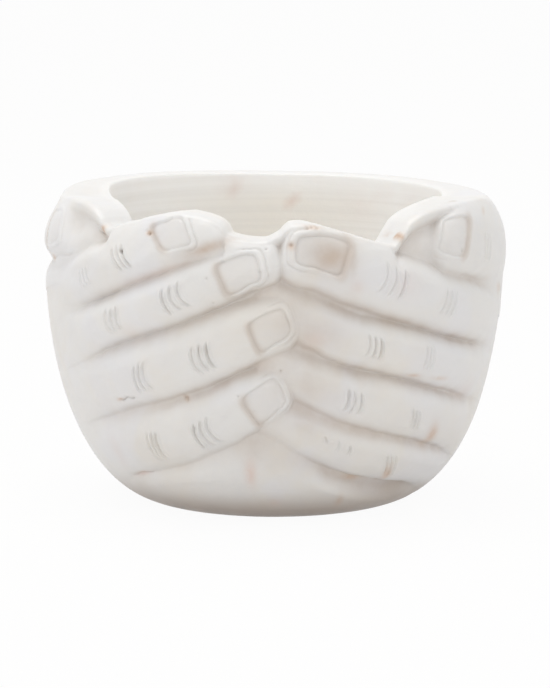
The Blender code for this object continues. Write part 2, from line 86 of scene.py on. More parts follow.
# rows: azimuth, height, half width, crest. fade and fadeUp: azimuths between which the finger rises
# out of the wall. openTop: azimuths between which its upper edge turns into the rim, as far as
# openShare says.
fingers = {
    "leftIndex": {
        "rows": [(-100, 65, 9, 0), (-72, 73, 9, 0), (-60, 76.9, 9, 0), (-50, 81.6, 9.4, 0),
                 (-40, 86.6, 9.4, 0), (-30, 91.2, 9.2, 0), (-22, 94.2, 8.6, 0), (-12, 96, 7.6, 0)],
        "depth": 4.6, "fade": (-80, -50), "fadeUp": (-106, -76), "tip": 7.5, "openTop": (-47, -40),
    },
    "leftMiddle": {
        "rows": [(-100, 44, 8, 0), (-66, 55.4, 8, 0), (-45, 65.8, 8, 0), (-35, 70.6, 8.5, 0),
                 (-25, 75.5, 8.9, 0), (-15, 81.2, 8.8, 0), (-7, 85.6, 8.4, 0), (2.2, 88.6, 7.8, 0)],
        "depth": 4.5, "fade": (-70, -42), "tip": 7.0, "openTop": (-11, -8.5),
    },
    "leftRing": {
        "rows": [(-98, 28, 10, 0), (-64, 39, 10, 0), (-45, 46, 10.9, 0), (-35, 49.9, 11.2, 0),
                 (-25, 54.2, 11.2, 0), (-15, 59.5, 11, 0), (-6, 64.6, 10.6, 0), (6, 69.6, 9.4, 0)],
        "depth": 4.6, "fade": (-70, -42), "tip": 8.0,
    },
    "leftLittle": {
        "rows": [(-94, 10, 10, 0), (-60, 18.5, 12, 0), (-40, 24.4, 12.3, 0), (-30, 28.1, 12, 0),
                 (-20, 32.7, 11.1, 0), (-12, 37.5, 10.4, 0), (-5, 42.3, 10, 0), (4.2, 47.4, 9, 0)],
        "depth": 4.5, "fade": (-68, -40), "tip": 8.5,
    },
    "leftThumb": {
        "rows": [(-132, 87, 11, 0), (-116, 86.6, 11, 0), (-100, 86.8, 10.8, -0.3), (-88, 87.6, 10.6, -0.3),
                 (-78, 89.2, 10.4, 0.2), (-70, 90.8, 10.2, 0.6), (-62.5, 92.4, 9.4, -0.2)],
        "depth": 5.0, "fade": (-128, -100), "tip": 7.0, "openTop": (-67, -76), "openShare": 0.35,
        "crease": 2.6, "upperSlope": 0.0,
    },
    "rightIndex": {
        "rows": [(104, 56, 9, 0), (76, 62.4, 9.6, 0), (55, 68.6, 10.5, 0), (45, 72.1, 10.5, 0),
                 (36, 76.6, 11, 0), (28, 80.4, 11.4, 0), (20, 84, 11.2, 0), (11, 88, 10.6, 0),
                 (0.6, 89.4, 9, 0)],
        "depth": 4.6, "fade": (84, 54), "fadeUp": (104, 80), "tip": 8.0, "openTop": (30.5, 26),
    },
    "rightMiddle": {
        "rows": [(104, 35, 8.6, 0), (70, 44.4, 8.8, 0), (50, 50.5, 8.7, 0), (40, 54.3, 8.6, 0),
                 (30, 58, 8.7, -0.2), (20, 61.4, 8.8, -0.6), (12, 66, 8.9, -1.4), (4, 71.2, 9.4, -2.4),
                 (-6, 77, 9.4, -3.4)],
        "depth": 4.4, "fade": (80, 52), "tip": 8.0,
    },
    "rightRing": {
        "rows": [(102, 17, 9.6, 0), (70, 25.8, 9.6, 0), (50, 32.1, 9.5, 0), (40, 35.6, 9.7, 0),
                 (30, 39.1, 9.9, -0.2), (20, 42.5, 9.4, -0.6), (12, 46.6, 9, -1.3), (4, 51.6, 8.8, -2.3),
                 (-6, 57, 8.6, -3.3)],
        "depth": 4.4, "fade": (80, 52), "tip": 8.0,
    },
    "rightLittle": {
        "rows": [(92, 3.5, 8, 0), (66, 10.5, 8, 0), (48, 16, 8.4, 0), (40, 18, 8.8, 0),
                 (30, 20.8, 8.9, -0.2), (20, 24.2, 8.7, -0.5), (12, 28.2, 8.4, -1.1),
                 (4, 33.2, 8.3, -1.9), (-6, 39, 8.2, -2.8)],
        "depth": 4.2, "fade": (76, 50), "tip": 8.0,
    },
    "rightThumb": {
        "rows": [(118, 83, 10, 0), (100, 83, 10.5, 0.2), (84, 84, 10.5, 0.4), (74, 85.4, 11, 0.7),
                 (67, 86.8, 11.2, 1.2), (60, 88.4, 11, 1.5), (52, 90, 10.6, 1.3), (44, 91.4, 9.6, 0.2)],
        "depth": 5.0, "fade": (104, 78), "tip": 7.0, "openTop": (48, 56), "openShare": 0.5,
        "crease": 2.6, "upperSlope": 0.0,
    },
}
# upperFrom: share of the half width where the upper slope starts. waves: of the edge, radians for each
# millimetre. outShare: how much the distance off the wall counts in picking the nearest segment
fingerForm = {"endPower": 2.3, "sectionPower": 3.0, "flankSoftness": 0.07, "sideSlope": 1.3, "crease": 0.9,
              "pathPoints": 34, "upperSlope": 0.9, "upperFrom": 0.3, "wobble": 0.1, "waves": (0.31, 0.83),
              "outShare": 0.14, "degreesRound": 14, "heightRound": 24, "onTopGap": 0.05}

# back: from the finger's end to the plate's middle, up: from its centre line, half: half sizes,
# root and free: how deep the plate's two ends lie
nailKeys = ("back", "up", "half", "shear", "lean", "taper", "root", "free")
nailRows = {
    "leftIndex": (19.6, 2.0, (5.4, 4.7), 0.3, 0.0, 0.0, 1.3, 0.6),
    "leftMiddle": (14.6, -1.0, (6.5, 5.0), 0.0, 0.05, 0.1, 1.4, 0.7),
    "leftRing": (9.9, -0.6, (6.1, 5.0), 0.05, 0.2, 0.05, 1.4, 0.7),
    "leftLittle": (9.5, -1.0, (6.3, 5.4), 0.0, 0.28, 0.1, 1.4, 0.6),
    "leftThumb": (13.0, 1.6, (6.4, 5.6), 0.1, 0.0, 0.1, 1.2, 0.7),
    "rightIndex": (13.8, 2.2, (8.0, 5.4), 0.0, 0.0, 0.16, 1.7, 1.3),
    "rightThumb": (7.6, 1.6, (5.4, 6.0), 0.25, 0.05, 0.1, 1.2, 0.8),
}
nails = {name: dict(zip(nailKeys, row)) for name, row in nailRows.items()}
# the brown band at the root and the brown of the line and the arc are painted shade in the nail's cuts: the
# band's width and start, then how brown each of them is
nailForm = {"squareness": 5.0, "step": 0.13, "rootStep": 0.34, "rootFrom": 0.55, "rootPower": 1.6,
            "sink": 0.62, "line": 0.34, "lineWidth": 0.055, "foldRise": 0.06, "foldAt": 1.18,
            "foldWidth": 0.09, "arcDepth": 0.42, "arcAt": 1.34, "arcWidth": 0.045, "arcRise": 1.6,
            "wobble": 0.012, "waves": (3, 7.3), "secondWave": 0.7, "taperReach": 1.2,
            "rootBandShadeWidth": 0.2475, "rootBandShadeFrom": 0.2, "lineShadeShare": 0.4, "arcShadeShare": 0.6, "rootShadeShare": 0.8}

# knuckle wrinkles, a few cuts side by side: back from the finger's end, gap between them, their top
# and bottom across the finger, lean of the bottom towards the tip, bow towards the hand, count, depth
wrinkles = {
    "leftIndex": [(40.6, 2.0, 4.4, -4.8, 2.5, 1.0, 3, 0.6), (58.6, 1.9, 1.8, -4.4, 0.5, 0.8, 3, 0.35)],
    "leftMiddle": [(37.0, 3.0, 4.1, -5.5, 0.4, 1.9, 3, 0.6), (62.0, 2.4, 4.0, -5.0, -0.8, 1.6, 3, 0.45)],
    "leftRing": [(32.2, 2.6, 3.7, -6.5, -0.8, 1.8, 3, 0.6), (55.8, 2.1, 4.1, -6.5, -1.2, 1.7, 3, 0.5)],
    "leftLittle": [(31.1, 2.7, 3.5, -7.5, -0.8, 1.8, 3, 0.6), (50.6, 1.7, 5.3, -6.6, -1.7, 1.6, 3, 0.45)],
    "rightIndex": [(38.6, 3.4, 5.9, -5.2, 0.0, 1.5, 3, 0.4), (63.9, 2.6, 5.1, -5.0, 1.0, 1.4, 3, 0.3)],
    "rightMiddle": [(43.0, 2.1, 3.7, -4.3, -1.3, 1.0, 3, 0.5), (64.8, 1.6, 5.0, -4.5, -2.0, 1.0, 3, 0.25)],
    "rightRing": [(35.5, 2.3, 3.6, -4.5, -1.9, 1.0, 3, 0.5), (60.5, 1.5, 2.5, -5.5, -3.1, 1.0, 3, 0.25)],
    "rightLittle": [(25.2, 1.2, 3.2, 1.4, -1.6, 0.0, 1, 0.3), (30.1, 1.2, 3.5, 0.0, -1.3, 0.4, 1, 0.35),
                    (34.5, 1.2, 3.7, 0.2, -1.1, 0.4, 1, 0.3), (51.1, 1.6, 4.1, -4.7, -4.0, 0.8, 3, 0.25)],
    "rightThumb": [(24.5, 1.6, 4.0, -6.0, 0.0, 0.4, 3, 0.25)],
}
# the wrinkle cuts are painted with shade in proportion to their depth
wrinkleForm = {"width": 0.36, "fadeEnds": 0.2, "lip": 0.7, "unevenness": 0.28, "strength": 1.4,
               "paintedShade": 0.3, "shift": 0.12, "shorten": 0.2, "spread": 0.4, "phases": (5, 3)}

# azimuth, spread and reach into the hollow, and how much the top slopes down for each millimetre
thumbPads = [(-84, 21, 7.4, 0.2), (80, 25, 6.0, 0.1)]
padForm = {"from": 55.0, "swell": 40.0, "topFrom": 70.0}

ground = {"depth": 3.6, "grooveDepth": 5.0, "grooveFrom": 30.0, "grooveRise": 25.0, "left": (-70, -46),
          "right": (80, 54), "rimGap": 0.6, "rimBand": 3.0}

# azimuth and height of the hem where the ground comes back to the belly, and the height over it
# where the ground has its full depth
hemLine = [
    (-180, 1.5, 8), (-75, 3.0, 8), (-52.5, 8.3, 8), (-45, 9.8, 8), (-30, 13.2, 8), (-18, 14.5, 14),
    (-8, 12, 19), (0, 10, 19), (6, 11, 16), (12, 12.0, 9), (17, 10.8, 5), (26.6, 7.4, 4),
    (34, 5.9, 4), (44, 4.3, 4), (58, 3.1, 8), (75, 1.5, 8), (180, 1.5, 8),
]
# soft patches: azimuth, height, spread in degrees, spread in height, share of the depth left out
shallows = [(-56, 93, 5, 6, 0.3), (41, 92, 6, 8, 0.35)]
# the same with a depth, cut from everything
softHollows = [(-61, 95.5, 5, 4.5, 2.2), (-88, 97, 22, 6, 1.4), (-90, 79.6, 24, 3.4, 2.5),
               (90, 97, 22, 6, 0.8), (90, 46, 34, 20, 0.7)]

# azimuth, height, width, depth of small pits where the stone has broken out
pits = [
    (-39.8, 88.4, 0.6, 1.5), (-31.7, 94.6, 0.6, 0.8), (-32.8, 95.4, 0.4, 0.5),
    (4.0, 92.6, 0.8, 0.7), (-2.0, 91.1, 0.35, 0.6), (-16.3, 81.8, 0.35, 0.5), (-14.8, 74.1, 0.35, 0.5),
    (8.2, 97.4, 0.45, 0.5), (9.4, 97.5, 0.4, 0.5), (10.9, 97.3, 0.45, 0.5), (51.6, 87.2, 0.6, 0.45),
    (-49.6, 93.4, 0.5, 0.5), (-3.3, 84.2, 0.35, 0.4), (1.6, 52.3, 0.4, 0.6), (-9.0, 44.6, 0.4, 0.5),
    (-9.8, 93.4, 1.6, 0.2), (-5.0, 92.6, 2.0, 0.2), (-1.8, 93.0, 1.2, 0.2),
]
# cracks: azimuth and height of both ends, width, depth. crackForm: how far the line wanders, its bends
# in radians, and how steeply its ends die away
cracks = [
    (-44.1, 39.9, -38.8, 41.6, 0.35, 0.7), (-24.7, 42.0, -23.2, 41.4, 0.35, 0.5),
    (-52.0, 94.6, -47.6, 92.9, 0.35, 0.5), (-74.0, 81.6, -61.0, 84.9, 0.45, 0.35),
    (-52.5, 12.4, -40.5, 15.2, 0.5, 0.45),
]
crackForm = {"wander": 0.3, "bends": 9, "ends": 5}
# coloured marks in the stone: azimuth, height, half length, half height, tilt, strength
rustMarks = [
    (33.6, 93.4, 1.4, 1.4, 0, 1.0), (-31.9, 94.8, 1.3, 0.9, 0, 0.8), (-50.0, 94.6, 1.8, 0.9, -10, 0.9),
    (37.7, 48.7, 3.2, 0.8, -8, 0.5),
    (47.0, 46.6, 4.0, 0.8, -8, 0.35), (49.5, 27.2, 2.8, 4.6, 24, 0.75), (36.2, 15.6, 1.9, 3.4, 20, 0.7),
    (25.5, 13.2, 4.2, 1.2, -8, 0.6), (22.4, 7.4, 1.8, 2.4, 30, 0.45), (4.0, 92.2, 1.2, 1.4, 0, 0.7),
    (9.6, 97.4, 3.2, 0.7, -6, 0.6), (-24.0, 41.8, 1.6, 0.8, -20, 0.5), (64.3, 97.8, 2.2, 0.9, 30, 0.35),
    (-73.0, 81.8, 3.5, 0.8, 20, 0.7), (-44.0, 40.2, 1.6, 0.6, 15, 0.6), (14.2, 88.4, 4.6, 3.2, -10, 0.2),
    (77.0, 71.5, 3.0, 1.0, -20, 0.45), (-16.5, 91.0, 4.5, 1.2, 20, 0.28),
]
# soft brown patches outside the creases, partly dirt and partly painted shade in sunken places and under
# overhanging fingertips
dirtAndShadeMarks = [
    (-16.8, 91.0, 9.5, 2.2, 20, 1.5), (13.0, 88.8, 9.0, 5.8, -12, 1.3), (12.5, 89.0, 3.5, 2.6, 0, 1.15),
    (19.0, 86.4, 1.8, 4.6, -10, 1.1),
    (8.5, 65.5, 12.0, 7.0, -20, 0.85), (8.0, 48.0, 12.0, 7.0, -20, 0.65), (9.0, 34.0, 11.0, 4.5, -20, 0.5),
    (-60.0, 95.0, 5.0, 4.0, 0, 0.45), (-50.0, 9.5, 12.0, 3.2, 12, 0.4),
    (-1.0, 78.0, 5.0, 5.0, 0, 0.4),
]
pinkMarks = [
    (-7.1, 17.8, 2.3, 4.2, 0, 0.9), (-46.5, 13.8, 6.0, 1.0, 12, 0.8), (0.2, 7.6, 3.0, 2.0, 0, 0.35),
    (-52.0, 21.0, 4.0, 6.0, 0, 0.2), (9.7, 62.3, 4.0, 3.0, 20, 0.35), (20.0, 79.1, 2.6, 2.6, 0, 0.3),
    (33.0, 79.0, 6.0, 5.0, 0, 0.22),
    (-171.8, 85.4, 1.5, 1.4, 0, 0.8), (174.5, 90.9, 1.9, 0.9, 0, 0.75), (141.3, 93.4, 2.4, 2.4, 30, 0.7),
    (-166.0, 96.0, 4.5, 3.6, 20, 0.6), (150.3, 90.0, 9.0, 5.0, 20, 0.2), (128.0, 90.0, 6.0, 7.0, -20, 0.2),
    (-30.0, 82.4, 18.0, 1.5, 20, 0.35), (-38.0, 63.0, 4.0, 3.0, 0, 0.15), (62.0, 40.0, 6.0, 4.0, 0, 0.2),
]

# patches of the grooves with less of the dirt and painted shade: azimuth, height, spreads, share taken off
lessDirtAndShadePatches = [(46, 89, 9, 9, 0.8), (-60, 92, 8, 8, 0.6), (4, 27.5, 8, 6, 0.7)]

# the hand-cut surface: waves along x, y and z (radians for each millimetre), depth
unevenness = [
    (0.34, 0.16, 0.29, 0.05), (-0.22, 0.41, 0.53, 0.045), (0.78, -0.33, 0.47, 0.03),
    (-0.71, 0.58, 1.02, 0.03), (1.45, 0.88, -1.17, 0.016), (-1.24, 1.83, 1.66, 0.012),
]
# where the stone is cut by hand: azimuth it ends at, degrees it dies away over, lowest height, height
# it grows over, share of the waves left on turned stone, shift from one wave to the next
handCut = {"until": 78, "over": 26, "above": 6, "within": 16, "turnedShare": 0.12, "phase": 1.7}

# how deep or high each stain or painted shade begins and over how many millimetres or degrees it grows
stainsAndShade = {
    "creviceDirtAndShadeFrom": 0.6, "creviceDirtAndShadeOver": 3.4, "leftShare": 0.55, "leftUntil": 46, "leftOver": 42,
    "shadeLineOver": 0.8, "darkFrom": 0.1, "darkOver": 1.3, "footStainAndShadeHeight": 12.5,
    "hollowOver": 1.5, "hollowFrom": 0.5,
    "basinMiddle": 178, "basinSpread": 36, "basinFrom": 1.0, "basinOver": 10.0,
    "rimRadius": 64.5, "rimOver": 2.0, "backFrom": 100, "markSoftness": 0.9,
}

# fineness of the carved surface before the triangle count is brought down
fineness = {"frontReach": 84, "frontStep": 0.3, "sideReach": 116, "sideStep": 1.2, "backSteps": 34,
            "wallStep": 0.42, "lowWallStep": 1.0, "lowWallHeight": 9.0, "keptTriangles": 188000}


def ease(value):
    # smooth step: 3v^2 - 2v^3 between 0 and 1
    value = np.clip(value, 0.0, 1.0)
    return value * value * (3.0 - 2.0 * value)


def bezier(start, startHandle, endHandle, end, count):
    # cubic curve through start and end, pulled by its two handles
    t = np.linspace(0.0, 1.0, count)[:, None]
    corners = [np.array(point, float) for point in (start, startHandle, endHandle, end)]
    weights = ((1 - t) ** 3, 3 * (1 - t) ** 2 * t, 3 * (1 - t) * t ** 2, t ** 3)
    return sum(weight * corner for weight, corner in zip(weights, corners))


def smoothThrough(x, y, where):
    # piecewise cubic whose tangents are the harmonic mean of the slopes on both sides,
    # and zero at a turning point, so it never overshoots its points
    x = np.asarray(x, float)
    y = np.asarray(y, float)
    width = np.diff(x)
    slope = np.diff(y) / width
    tangent = np.concatenate([slope[:1], np.zeros(len(x) - 2), slope[-1:]])
    product = slope[:-1] * slope[1:]
    before = 2 * width[1:] + width[:-1]
    after = width[1:] + 2 * width[:-1]
    blend = np.where(product > 0, before * slope[1:] + after * slope[:-1], 1.0)
    tangent[1:-1] = np.where(product > 0, (before + after) * product / blend, 0.0)
    k = np.clip(np.searchsorted(x, where) - 1, 0, len(x) - 2)
    t = np.clip((where - x[k]) / width[k], 0.0, 1.0)
    rise = t * t * (3 - 2 * t)
    return (y[k] * (1 - rise) + y[k + 1] * rise
            + tangent[k] * width[k] * t * (1 - t) ** 2 + tangent[k + 1] * width[k] * t * t * (t - 1))


def outerOutline():
    # belly curve from the foot's edge, then the shoulder curve over to the rim
    b = blank
    widest = (b["bellyRadius"], b["bellyHeight"])
    belly = bezier((b["footRadius"], 0), (b["footRadius"] + b["footSweep"], 0),
                   (b["bellyRadius"], b["bellyHeight"] - b["bellySweep"]), widest, outlinePoints["belly"])
    shoulder = bezier(widest, (b["bellyRadius"], b["bellyHeight"] + b["shoulderRise"]),
                      (b["rimOuter"] + b["shoulderRun"], b["rimHeight"]),
                      (b["rimOuter"], b["rimHeight"]), outlinePoints["shoulder"])
    return np.vstack([belly, shoulder[1:]])


def hollowOutline():
    # lip curve, then the basin curve down to the flat floor
    b = blank
    lipHeight = b["rimHeight"] - b["lipDrop"]
    lip = bezier((b["rimInner"], b["rimHeight"]), (b["hollowRadius"], b["rimHeight"]),
                 (b["hollowRadius"], b["rimHeight"]), (b["hollowRadius"], lipHeight), outlinePoints["lip"])
    basin = bezier((b["hollowRadius"], lipHeight), (b["hollowRadius"], lipHeight - b["hollowSweep"]),
                   (b["floorRadius"] + b["floorSweep"], b["floorHeight"]),
                   (b["floorRadius"], b["floorHeight"]), outlinePoints["basin"])
    return np.vstack([lip, basin[1:], [(b["floorRadius"] / 2, b["floorHeight"])]])


outline = outerOutline()


def evenSteps(curve, step):
    run = np.concatenate([[0.0], np.cumsum(np.hypot(*np.diff(curve, axis=0).T))])
    at = np.linspace(0.0, run[-1], max(2, int(run[-1] / step) + 1))
    return np.column_stack([np.interp(at, run, curve[:, 0]), np.interp(at, run, curve[:, 1])])


def rimTop(azimuth):
    azimuths, rises = zip(*rimLine)
    return blank["rimHeight"] + smoothThrough(azimuths, rises, azimuth)


def rimStretch(azimuth):
    return (rimTop(azimuth) - rimLineFrom) / (blank["rimHeight"] - rimLineFrom)


def followRim(azimuth, height):
    # above rimLineFrom the height is stretched in proportion, so that the top meets the rim line
    lifted = rimLineFrom + (height - rimLineFrom) * rimStretch(azimuth)
    return np.where(height > rimLineFrom, lifted, height)


def wallPoint(azimuth, height):
    # radius read from the blank's outline at the unstretched height, turned to the azimuth
    lowered = rimLineFrom + (height - rimLineFrom) / rimStretch(azimuth)
    flat = np.where(height > rimLineFrom, lowered, height)
    radius = np.interp(flat, outline[:, 1], outline[:, 0])
    angle = np.radians(azimuth)
    return np.column_stack([radius * np.sin(angle), -radius * np.cos(angle), height])


def softMax(a, b, radius):
    # the larger of two heights, with a fillet of this size where they cross
    return np.maximum(a, b) + np.maximum(radius - np.abs(a - b), 0.0) ** 2 / (4 * np.maximum(radius, 1e-6))


def ridge(distance, width):
    # bell of height 1: e to the minus (distance / width) squared
    return np.exp(-(distance / width) ** 2)


def patch(azimuth, height, place):
    middle, level, spread, rise = place
    return ridge(azimuth - middle, spread) * ridge(height - level, rise)


class Finger:
    # a centre line over the wall, with the half width and crest along it

    def __init__(self, name):
        self.name = name
        self.size = fingers[name]
        rows = np.array(self.size["rows"], float)
        self.lowest = rows.min(axis=0)
        self.highest = rows.max(axis=0)
        spacing = np.hypot(np.diff(rows[:, 0]) * wallDegree, np.diff(rows[:, 1]))
        run = np.concatenate([[0.0], np.cumsum(spacing)])
        at = np.linspace(0.0, run[-1], fingerForm["pathPoints"])
        self.azimuth, height, self.half, self.crest = (smoothThrough(run, rows[:, i], at) for i in range(4))
        self.points = wallPoint(self.azimuth, height)
        lengths = np.linalg.norm(np.diff(self.points, axis=0), axis=1)
        self.run = np.concatenate([[0.0], np.cumsum(lengths)])
        self.heading = np.sign(rows[-1, 0] - rows[0, 0])

    def covers(self, azimuth, height):
        degrees, rise = fingerForm["degreesRound"], fingerForm["heightRound"]
        return ((azimuth > self.lowest[0] - degrees) & (azimuth < self.highest[0] + degrees)
                & (height > self.lowest[1] - rise) & (height < self.highest[1] + rise))

    def ramp(self, run, azimuths):
        start, end = np.interp(np.array(azimuths) * self.heading, self.azimuth * self.heading, self.run)
        return ease((run - start) / (end - start))

    def place(self, points, normals):
        # distance along the centre line and above it, measured over the wall from the nearest segment
        nearest = np.full(len(points), np.inf)
        along = np.zeros(len(points))
        across = np.zeros(len(points))
        last = len(self.points) - 2
        for i, start in enumerate(self.points[:-1]):
            length = self.run[i + 1] - self.run[i]
            direction = (self.points[i + 1] - start) / length
            reach = (points - start) @ direction
            reach = np.clip(reach, -np.inf if i == 0 else 0.0, np.inf if i == last else length)
            offset = points - start - reach[:, None] * direction
            out = (offset * normals).sum(axis=1)
            flat = offset - out[:, None] * normals
            distance = np.linalg.norm(flat, axis=1)
            measure = np.hypot(distance, fingerForm["outShare"] * out)
            up = np.cross(direction, normals)
            above = np.sign((up * flat).sum(axis=1) * np.sign(up[:, 2]))
            closer = measure < nearest
            nearest = np.where(closer, measure, nearest)
            along = np.where(closer, self.run[i] + reach, along)
            across = np.where(closer, distance * above, across)
        return along - self.run[-1], across

    def nailCut(self, ahead, across):
        # a squarish plate, its root under a wide soft step and its other edges under narrow ones,
        # a thin line round it, a low fold beyond the line, and a thin arc past the free end
        nail = nails[self.name]
        form = nailForm
        reach = form["taperReach"]
        x = ahead + nail["back"]
        y = across - nail["up"]
        u = (x + nail["shear"] * y) / nail["half"][0]
        v = (y - nail["lean"] * x) / (nail["half"][1] * (1 - nail["taper"] * np.clip(u, -reach, reach)))
        power = form["squareness"]
        edge = (np.abs(u) ** power + np.abs(v) ** power) ** (1 / power)
        around = np.arctan2(v, u) + len(self.name)
        slow, quick = form["waves"]
        wobble = np.sin(slow * around) + form["secondWave"] * np.sin(quick * around)
        edge = edge + form["wobble"] * wobble
        forward = (np.clip(u, -1, 1) + 1) / 2
        atRoot = ease((-u - form["rootFrom"]) / (1 - form["rootFrom"]))
        step = form["step"] + (form["rootStep"] - form["step"]) * atRoot
        plate = ease((1 + step / 2 - edge) / step)
        depth = nail["root"] * (1 - forward) ** form["rootPower"] + nail["free"] * forward
        depth = plate * form["sink"] * depth
        line = form["line"] * nail["root"] * ridge(edge - 1, form["lineWidth"])
        fold = form["foldRise"] * ridge(edge - form["foldAt"], form["foldWidth"])
        arc = form["arcDepth"] * ridge(edge - form["arcAt"], form["arcWidth"]) * ease(u * form["arcRise"])
        # painted shade: a brown band under the root's step, and the line and the arc darkened as deep as
        # they are cut
        rootEdge = ridge(edge - 1, form["rootBandShadeWidth"]) * ease(-form["rootBandShadeFrom"] - u)
        paintedShade = np.maximum(form["lineShadeShare"] * line + form["arcShadeShare"] * arc, form["rootShadeShare"] * rootEdge)
        return depth + line - fold + arc, plate, paintedShade

    def wrinkleCut(self, ahead, across):
        # each cut is a thin bell across a bowed line, with a low lip beside it; its ends die away,
        # and neighbouring cuts differ a little in place, length and depth
        form = wrinkleForm
        eachCut, eachRow = form["phases"]
        cut = np.zeros(len(ahead))
        for row, (back, gap, top, bottom, lean, bow, count, deep) in enumerate(wrinkles.get(self.name, ())):
            for k in range(count):
                uneven = form["unevenness"] * math.sin(eachCut * k + eachRow * row + len(self.name))
                share = (top - across) / (top - bottom) + form["shift"] * uneven
                rest = 1 + form["shorten"] * uneven - share
                length = ease(share / form["fadeEnds"]) * ease(rest / form["fadeEnds"])
                middle = -back + lean * share - bow * (1 + uneven) * 4 * share * (1 - share)
                side = ahead - middle - (k - (count - 1) / 2 + uneven * form["spread"]) * gap
                depth = form["strength"] * deep * (1 - uneven) * length
                cut += depth * ridge(side, form["width"])
                cut -= depth * form["lip"] * ridge(np.abs(side) - 2 * form["width"], form["width"])
        return cut

    def relief(self, points, normals):
        # flattened section with a squarish rounded end, falling at a fixed slope past its edge
        ahead, across = self.place(points, normals)
        along = ahead + self.run[-1]
        half = np.interp(along, self.run, self.half)
        crest = np.interp(along, self.run, self.crest)
        risen = self.ramp(along, self.size["fade"])
        if "fadeUp" in self.size:
            risen = np.where(across > 0, self.ramp(along, self.size["fadeUp"]), risen)
        slow, quick = fingerForm["waves"]
        wobble = np.sin(slow * along + len(self.name)) + np.sin(quick * along)
        across = across + fingerForm["wobble"] * wobble
        side = across
        if "openTop" in self.size:
            opened = self.ramp(along, self.size["openTop"]) * self.size.get("openShare", 1.0)
            side = np.where(across > 0, across * (1 - opened), across)
        end = np.maximum(ahead + self.size["tip"], 0.0) / self.size["tip"]
        power = fingerForm["endPower"]
        edge = (np.abs(side / half) ** power + end ** power) ** (1 / power)
        soft = fingerForm["flankSoftness"]
        inner = (1 - soft) * np.minimum(edge, 1.0) ** fingerForm["sectionPower"]
        fall = (1 - np.sqrt(1 - inner)) / (1 - math.sqrt(soft))
        surface = crest - self.size["depth"] * risen * fall
        surface = surface - np.maximum(edge - 1, 0.0) * half * fingerForm["sideSlope"]
        upperSlope = self.size.get("upperSlope", fingerForm["upperSlope"])
        upperFrom = fingerForm["upperFrom"]
        surface = surface - upperSlope * risen * ease((side / half - upperFrom) / (1 - upperFrom))
        plate = np.zeros(len(ahead))
        shadeLines = np.zeros(len(ahead))
        if self.name in nails:
            cut, plate, shadeLines = self.nailCut(ahead, across)
            surface = surface - cut
        folds = self.wrinkleCut(ahead, across)
        # the last value is painted shade along the nail's cuts and in the wrinkle cuts
        return surface - folds, risen, plate, np.maximum(shadeLines, wrinkleForm["paintedShade"] * folds)


def groundDepth(azimuth, height):
    # nothing at the sides, the rim and under the hem, deeper in the upper grooves
    g = ground
    left = ease((azimuth - g["left"][0]) / (g["left"][1] - g["left"][0]))
    right = ease((azimuth - g["right"][0]) / (g["right"][1] - g["right"][0]))
    side = np.where(azimuth < 0, left, right)
    underRim = ease((rimTop(azimuth) - height - g["rimGap"]) / g["rimBand"])
    azimuths, hems, bands = zip(*hemLine)
    hem = smoothThrough(azimuths, hems, azimuth)
    overHem = ease((height - hem) / smoothThrough(azimuths, bands, azimuth))
    deeper = ease((height - g["grooveFrom"]) / g["grooveRise"])
    depth = g["depth"] + (g["grooveDepth"] - g["depth"]) * deeper
    for *place, share in shallows:
        depth = depth * (1 - share * patch(azimuth, height, place))
    return side * underRim * overHem * depth


def spot(azimuth, height, mark):
    # 0 at the mark's middle and 1 on its outline, an ellipse turned by its tilt
    middle, level, halfLength, halfHeight, tilt = mark
    x = (azimuth - middle + 180) % 360 - 180
    x = x * wallDegree
    y = height - level
    turn = math.radians(tilt)
    along = x * math.cos(turn) + y * math.sin(turn)
    across = y * math.cos(turn) - x * math.sin(turn)
    return np.hypot(along / halfLength, across / halfHeight)


def smallDamage(azimuth, height):
    # pits are bells, cracks are thin bells along a straight line with dying ends
    cut = np.zeros(len(azimuth))
    ends = crackForm["ends"]
    for middle, level, width, depth in pits:
        cut += depth * ridge(spot(azimuth, height, (middle, level, width, width, 0)), 1.0)
    for startAzimuth, startHeight, endAzimuth, endHeight, width, depth in cracks:
        x = (azimuth - startAzimuth) * wallDegree
        y = height - startHeight
        dx = (endAzimuth - startAzimuth) * wallDegree
        dy = endHeight - startHeight
        length = math.hypot(dx, dy)
        share = (x * dx + y * dy) / length ** 2
        side = (y * dx - x * dy) / length + crackForm["wander"] * np.sin(share * crackForm["bends"])
        fading = ease(share * ends + 0.5) * ease((1 - share) * ends + 0.5)
        cut += depth * ridge(side, width) * fading
    return cut


def handWork(points, azimuth):
    # sum of plane waves in different directions, weaker on the turned back and towards the foot
    total = np.zeros(len(points))
    for k, (x, y, z, amount) in enumerate(unevenness):
        total += amount * np.sin(points @ np.array([x, y, z]) + handCut["phase"] * k)
    carved = ease((handCut["until"] - np.abs(azimuth)) / handCut["over"])
    carved = carved * ease((points[:, 2] - handCut["above"]) / handCut["within"])
    return total * (handCut["turnedShare"] + (1 - handCut["turnedShare"]) * carved)


def azimuthColumns(size):
    front = np.arange(-size["frontReach"], size["frontReach"] + 1e-6, size["frontStep"])
    right = np.arange(size["frontReach"], size["sideReach"], size["sideStep"])[1:]
    back = np.linspace(size["sideReach"], 360 - size["sideReach"], size["backSteps"])
    left = 360 - right[::-1]
    return np.concatenate([front, right, back, left])


